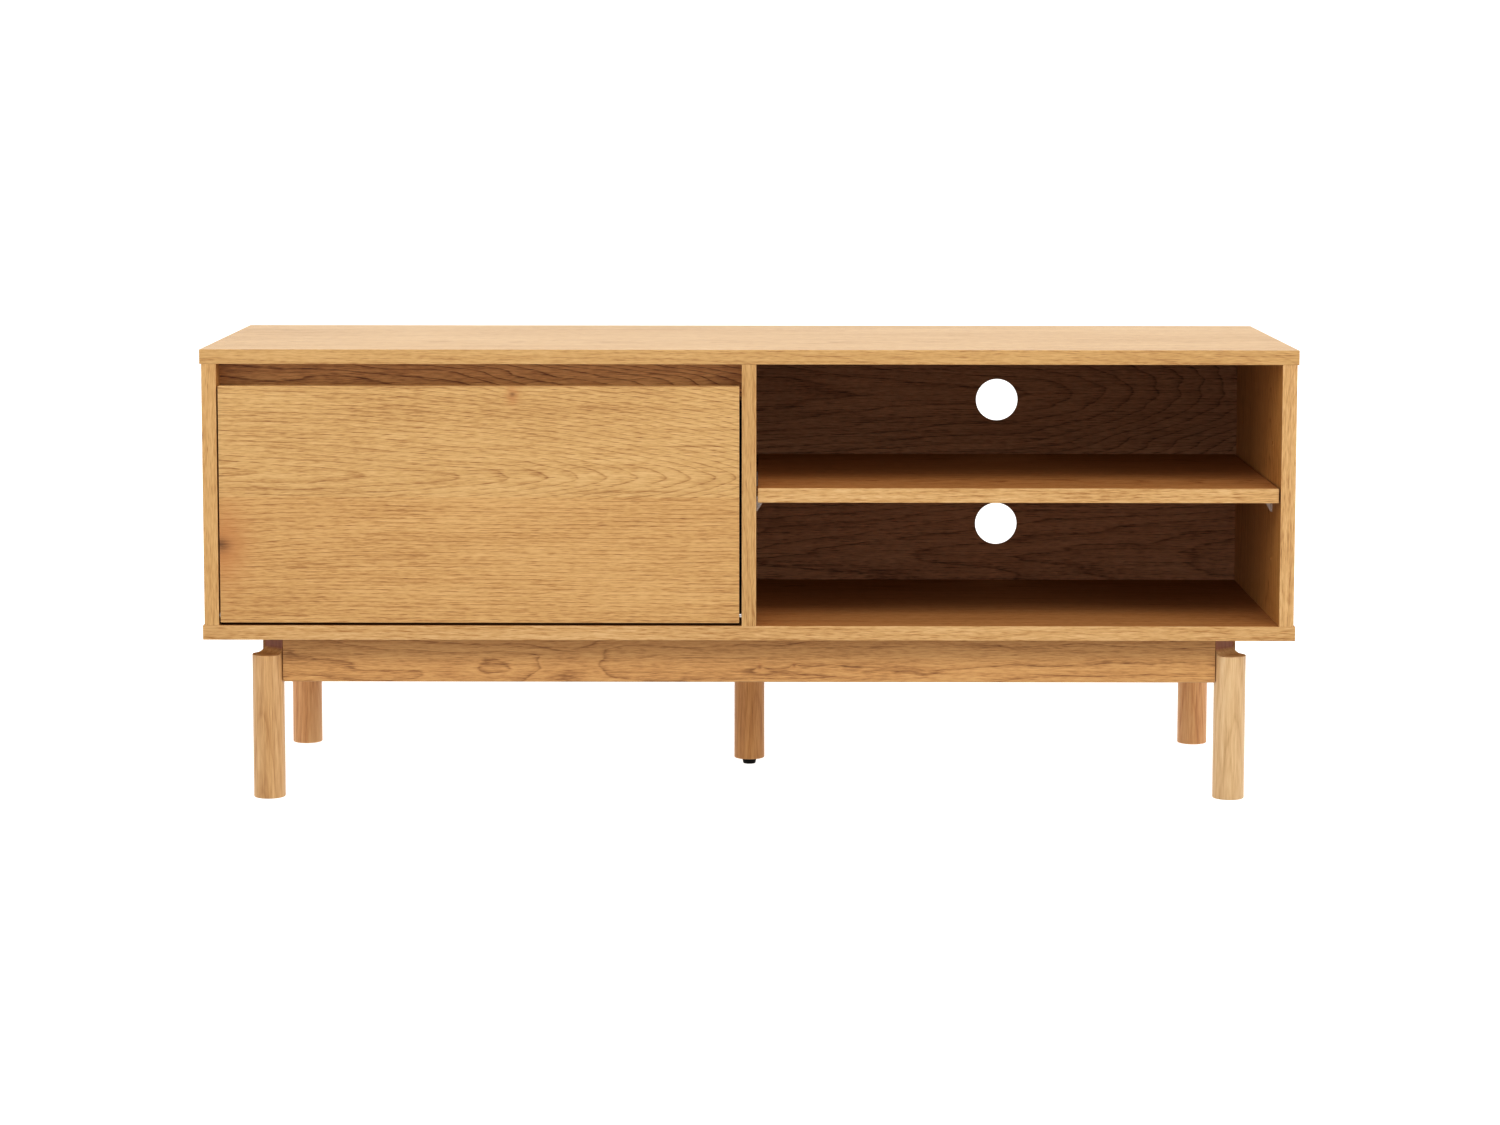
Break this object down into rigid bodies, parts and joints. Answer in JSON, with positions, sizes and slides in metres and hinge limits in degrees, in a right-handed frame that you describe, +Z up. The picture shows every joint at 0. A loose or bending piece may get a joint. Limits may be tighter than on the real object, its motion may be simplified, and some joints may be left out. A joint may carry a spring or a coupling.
{
  "type": "tv stand",
  "caption": "Low oak-faced media stand on turned legs with a drop-down flap door on one side, and an open bay with a shelf and cable holes on the other.",
  "frame": {"origin": "on the floor under the middle of the stand", "axes": "+X along the stand to the right as seen from the front, the front faces -Y, +Z up"},
  "size_m": [1.2, 0.4, 0.5],
  "materials": {
    "oak_board": "satin oak-grain laminate, honey brown",
    "oak_back": "thin oak-grain back board, satin",
    "solid_oak_leg": "turned light hardwood, satin lacquer",
    "solid_oak_rail": "hardwood rail with bold grain, satin lacquer",
    "beech_dowel": "fluted beech, bare",
    "clear_plastic": "clear moulded plastic",
    "white_nylon": "natural nylon",
    "brown_plastic": "brown moulded plastic",
    "black_plastic": "black moulded plastic",
    "magnet_steel": "ground steel pole plates and ferrite",
    "zinc_steel": "bright zinc plated steel"
  },
  "bodies": {
    "cabinet": {"top_panel": "oak_board", "bottom_panel": "oak_board", "left_side_panel": "oak_board", "right_side_panel": "oak_board", "divider_panel": "oak_board", "left_back_panel": "oak_back", "right_back_panel": "oak_back", "finger_rail": "oak_board", "carcass_dowels": "beech_dowel", "carcass_screws": "zinc_steel", "shelf_supports": "clear_plastic", "left_pivot_pin": "zinc_steel", "right_pivot_pin": "zinc_steel", "stay_guide": "zinc_steel", "stay_guide_screws": "zinc_steel", "catch_case": "brown_plastic", "catch_magnet": "magnet_steel", "catch_screws": "zinc_steel", "front_left_leg": "solid_oak_leg", "front_right_leg": "solid_oak_leg", "rear_left_leg": "solid_oak_leg", "rear_right_leg": "solid_oak_leg", "front_rail": "solid_oak_rail", "rear_rail": "solid_oak_rail", "left_rail": "solid_oak_rail", "right_rail": "solid_oak_rail", "frame_screws": "zinc_steel", "corner_brackets": "zinc_steel", "bracket_screws": "zinc_steel", "hanger_bolts": "zinc_steel", "hanger_nuts": "zinc_steel", "centre_leg": "solid_oak_leg", "centre_leg_plate": "zinc_steel", "centre_leg_bolt": "zinc_steel", "plate_screws": "zinc_steel", "leveller_insert": "zinc_steel"},
    "door": {"door_panel": "oak_board", "door_bushes": "white_nylon", "stay_bracket": "zinc_steel", "stay_bracket_screws": "zinc_steel", "stay_rivet": "zinc_steel", "strike_plate": "zinc_steel", "strike_screw": "zinc_steel"},
    "stay": {"stay_arm": "zinc_steel"},
    "shelf_board": {"shelf": "oak_board"},
    "leveller": {"leveller_foot": "black_plastic"},
    "leveller_thread": {"leveller_stud": "zinc_steel"}
  },
  "joints": [
    {"name": "door_drop", "type": "hinge", "parent": "cabinet", "child": "door", "pos_m": [-0.2955, -0.1925, 0.2065], "axis": [1, 0, 0], "range_deg": [0, 90]},
    {"name": "stay_pivot", "type": "hinge", "parent": "door", "child": "stay", "pos_m": [-0.5775, -0.172, 0.33487], "axis": [1, 0, 0], "range_deg": [-45, 0]},
    {"name": "shelf_slide", "type": "slide", "parent": "cabinet", "child": "shelf_board", "axis": [0, -1, 0], "range_m": [0, 0.36]},
    {"name": "leveller_extend", "type": "slide", "parent": "cabinet", "child": "leveller", "axis": [0, 0, -1], "range_m": [0, 0.01]},
    {"name": "leveller_turn", "type": "hinge", "parent": "leveller", "child": "leveller_thread", "pos_m": [0, 0.032, 0.004], "axis": [0, 0, -1], "range_deg": [0, 2880]}
  ],
  "couplings": [
    {"joint": "stay_pivot", "follows": "door_drop", "ratio": -0.5},
    {"joint": "leveller_turn", "follows": "leveller_extend", "rad_per_m": 5026.5}
  ]
}
